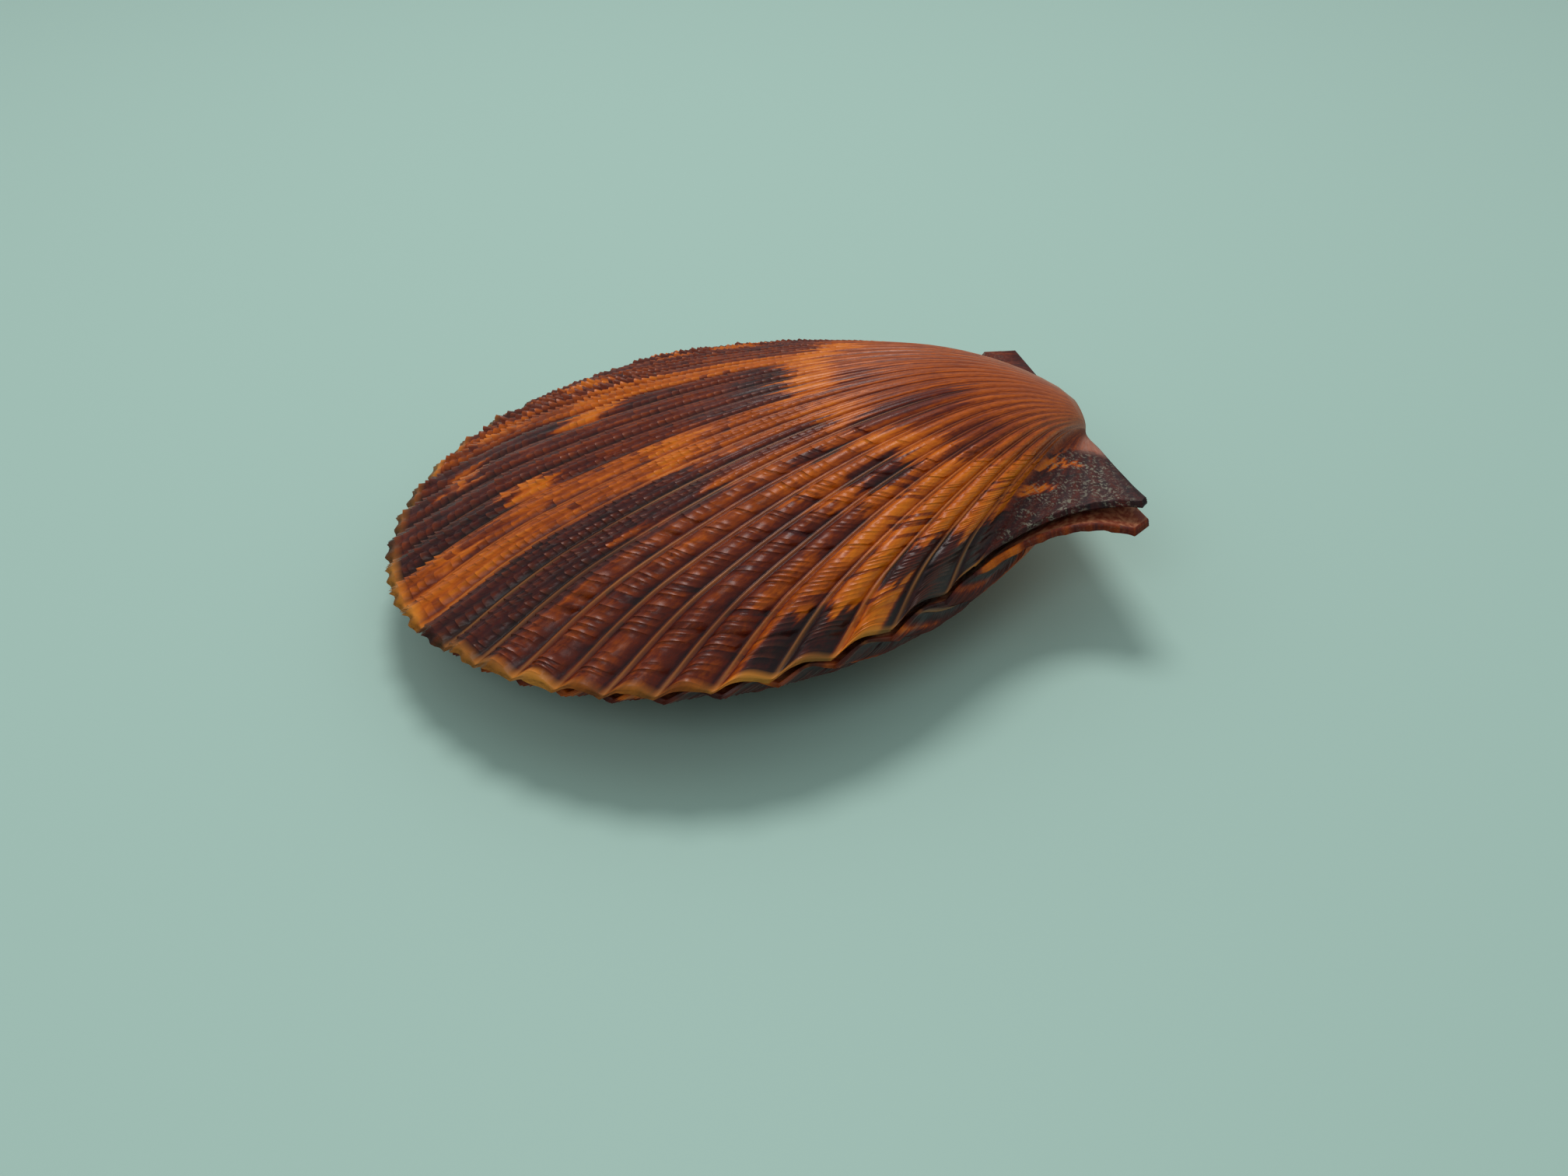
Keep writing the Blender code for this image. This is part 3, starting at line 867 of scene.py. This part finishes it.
rightValve = {
    "node": "right_valve",
    "side": -1,
    "coil": 4.27,
    "setBack": 0.02,
    "ribOffset": 0.5,
    "gape": -0.30 * mm,
    "rearEar": {"pull": (-0.185, 0.104), "corner": (-0.272, 0.030), "tip": (-0.250, 0.0)},
    "frontEar": {"pull": (0.080, 0.150), "corner": (0.332, 0.062), "tip": (0.318, 0.0)},
    "earRiblets": 7,
    "broadRibs": (-3.2, -5.2),
    "seed": 8.0,
    "wearAt": rightWear,
    "ground": 0.55,
    "mottle": 0.30,
    "frosted": 0.15,
    "marks": [
        # pale near the beak and dark at the edge, with bright spots between
        (-20, 20, -1, 0.34, 0.18, 1.0), (-20, 20, 0.34, 0.52, 0.34, 0.9), (-20, 20, 0.80, 1.2, 0.72, 0.8),
        (-9.0, -7.2, 0.46, 0.60, 0.10, 0.8), (-6.4, -5.1, 0.55, 0.66, 0.12, 0.9),
        (-3.3, -2.2, 0.48, 0.58, 0.10, 0.9),
        (-1.2, 0.9, 0.60, 0.68, 0.15, 0.9), (1.8, 3.2, 0.50, 0.62, 0.10, 0.9),
        (4.1, 5.2, 0.64, 0.74, 0.12, 0.9),
        (6.2, 8.1, 0.50, 0.60, 0.15, 0.8), (9.0, 10.2, 0.58, 0.72, 0.12, 0.9),
        (-4.4, -3.5, 0.78, 0.84, 0.15, 0.9),
        (0.8, 1.7, 0.80, 0.87, 0.15, 0.9), (5.8, 6.7, 0.84, 0.90, 0.15, 0.9),
        (-7.4, -6.6, 0.86, 0.92, 0.15, 0.9),
        # the dark rear side, with thin bright bars
        (-13.2, -6.0, 0.62, 1.2, 0.92, 0.95),
        (-12.8, -12.65, 0.78, 1.2, 0.30, 0.8), (-11.75, -11.62, 0.86, 1.2, 0.30, 0.8),
        (-10.5, -10.3, 0.84, 1.2, 0.30, 0.8),
        (-9.35, -9.2, 0.84, 1.2, 0.20, 0.9), (-8.0, -7.85, 0.82, 1.2, 0.22, 0.9),
        (-6.9, -6.6, 0.86, 1.2, 0.22, 0.9),
        # the ears
        (-20, -13.1, 0.4, 1.2, 0.56, 1.0), (-14.6, -13.1, 0.55, 1.2, 0.22, 0.9),
        (-17.0, -15.6, 0.66, 0.84, 0.80, 0.8),
        (14.2, 20, 0.4, 1.2, 0.7, 0.9),
    ],
}


ligament = {
    "size": (1.5 * mm, 23 * mm, 0.32 * mm),
    "centre": (-0.45 * mm, 2.4 * mm, 0),
    "cuts": (18, 160),
    "endDepth": 0.45,           # its ends are this share of its middle's depth
    "layers": 6,
    "layerStep": 0.16,
    "crack": 0.035 * mm,
    "dark": (*shade(44, 24, 16), 1),
    "amber": (*shade(112, 66, 34), 1),
    "streakScales": (7000.0, 500.0),
    "roughness": 0.30,
    "glossSwing": 0.3,
    "grain": (6000.0, 0.4, 0.04 * mm),
}


def buildLigament(name, band):
    # the horny band between the hinge edges, in thin layers, with fine cracks across it
    strip = bmesh.new()
    bmesh.ops.create_grid(strip, x_segments=band["cuts"][0], y_segments=band["cuts"][1], size=0.5)
    grown = bmesh.ops.extrude_face_region(strip, geom=list(strip.faces))
    under = {item for item in grown["geom"] if isinstance(item, bmesh.types.BMVert)}
    deep, wide, thick = band["size"]
    for vert in strip.verts:
        across, along = vert.co.x, vert.co.y
        side = -1 if vert in under else 1
        depth = 1 - (1 - band["endDepth"]) * (2 * abs(along)) ** 2
        layer = abs(math.sin(math.pi * band["layers"] * (across + 0.5)))
        crack = smooth(0.15, 0.5, noise.noise(Vector((along * 55, across * 3, side))))
        half = thick / 2 * (1 - band["layerStep"] * layer) - band["crack"] * crack
        flat = Vector((((across - 0.5) * depth + 0.5) * deep, along * wide, side * half))
        vert.co = flat + Vector(band["centre"])
    bmesh.ops.recalc_face_normals(strip, faces=strip.faces)
    # extruding leaves the side faces in no fixed order, so all faces are put in one
    strip.faces.sort(key=lambda face: face.calc_center_median().dot(Vector((1, 7, 50))))
    strip.transform(restPose())
    return finishPiece(name, strip, "hinge_ligament")


def hornMaterial(name, band, groups):
    horn = bpy.data.materials.new(name)
    horn.use_nodes = True
    tree = horn.node_tree
    shader = tree.nodes["Principled BSDF"]
    where = newNode(tree, "ShaderNodeTexCoord", (-900, 0))
    bands = newNode(tree, "ShaderNodeGroup", (-600, 100), node_tree=groups["streaks"])
    linkNodes(tree, where.outputs["Object"], bands.inputs["Growth"])
    bands.inputs["Across"].default_value, bands.inputs["Along"].default_value = band["streakScales"]
    spread = liftLow(tree, bands.outputs[0], 0.38, 3.5, (-400, 100))
    colour = mixColours(tree, spread, band["dark"], band["amber"], place=(-50, 100))
    linkNodes(tree, colour, shader.inputs["Base Color"])
    gloss = mathNode(tree, "MULTIPLY", bands.outputs[0], band["glossSwing"], place=(-250, -100))
    gloss = mathNode(tree, "ADD", gloss, band["roughness"], place=(-50, -100))
    linkNodes(tree, gloss, shader.inputs["Roughness"])
    addGrain(tree, where, groups, band["grain"], (-600, -250))
    return horn


cameraSetup = {
    "place": (-0.0216, -0.1207, 0.0750),
    "ahead": (0.1685, 0.8305, -0.5309),      # the way it looks
    "across": (0.9775, -0.2098, -0.0179),    # towards its right
    "lens": 42.86,
    "sensor": 36,
}


def addCamera():
    back = -Vector(cameraSetup["ahead"]).normalized()
    right = Vector(cameraSetup["across"])
    right = (right - back * right.dot(back)).normalized()
    up = back.cross(right)
    lens = bpy.data.cameras.new("camera")
    lens.lens = cameraSetup["lens"]
    lens.sensor_width = cameraSetup["sensor"]
    lens.clip_start = 0.005
    lens.clip_end = 20
    camera = bpy.data.objects.new("camera", lens)
    turned = Matrix((right, up, back)).transposed().to_4x4()     # its axes stand in columns
    camera.matrix_world = Matrix.Translation(cameraSetup["place"]) @ turned
    bpy.context.scene.collection.objects.link(camera)
    bpy.context.scene.camera = camera


studio = {
    "floorColour": shade(176, 208, 198),
    "floorRoughness": 0.6,
    "floorSize": 3.0,
    "lamps": [
        # name, place, aims at, size, watts, colour
        ("overhead", (0.02, 0.16, 0.36), (0, 0, 0), 0.16, 0.62, (1.0, 0.98, 0.96)),
        ("front", (-0.20, -0.30, 0.30), (0, 0, 0), 0.20, 0.30, (0.97, 1.0, 1.0)),
    ],
    "sky": (0.80, 0.88, 0.87),
    "skyStrength": 0.42,
}


def addFloor():
    floor = bmesh.new()
    bmesh.ops.create_grid(floor, x_segments=8, y_segments=8, size=studio["floorSize"] / 2)
    mesh = bpy.data.meshes.new("floor")
    floor.to_mesh(mesh)
    floor.free()
    look = bpy.data.materials.new("paleFloor")
    look.use_nodes = True
    shader = look.node_tree.nodes["Principled BSDF"]
    shader.inputs["Base Color"].default_value = (*studio["floorColour"], 1)
    shader.inputs["Roughness"].default_value = studio["floorRoughness"]
    mesh.materials.append(look)
    floorPiece = bpy.data.objects.new("floor", mesh)
    bpy.context.scene.collection.objects.link(floorPiece)


def addLight():
    for name, place, aim, size, watts, colour in studio["lamps"]:
        lamp = bpy.data.lights.new(name, "AREA")
        lamp.shape = "DISK"
        lamp.size = size
        lamp.energy = watts
        lamp.color = colour
        holder = bpy.data.objects.new(name, lamp)
        holder.location = place
        holder.rotation_euler = (Vector(place) - Vector(aim)).to_track_quat("Z", "Y").to_euler()
        bpy.context.scene.collection.objects.link(holder)
    world = bpy.data.worlds.new("studio")
    world.use_nodes = True
    background = world.node_tree.nodes["Background"]
    background.inputs["Color"].default_value = (*studio["sky"], 1)
    background.inputs["Strength"].default_value = studio["skyStrength"]
    bpy.context.scene.world = world
    bpy.context.scene.view_settings.view_transform = "Standard"      # keeps the orange as strong as it is


groups = {"streaks": streakGroup(), "specks": speckGroup(), "grain": grainGroup()}
groups["paint"] = paintGroup(shellLook, groups)
print("shared material groups done")
for valveName, valve, look in (("leftValve", leftValve, shellLook), ("rightValve", rightValve, lowerLook)):
    piece = buildValve(valveName, valve)
    piece.data.materials.append(shellMaterial(valveName + "Skin", look, groups))
piece = buildLigament("hingeLigament", ligament)
piece.data.materials.append(hornMaterial("hingeLigamentHorn", ligament, groups))
print("valves and ligament done")
addCamera()
addFloor()
addLight()
print("camera and studio done")

bpy.context.view_layer.update()
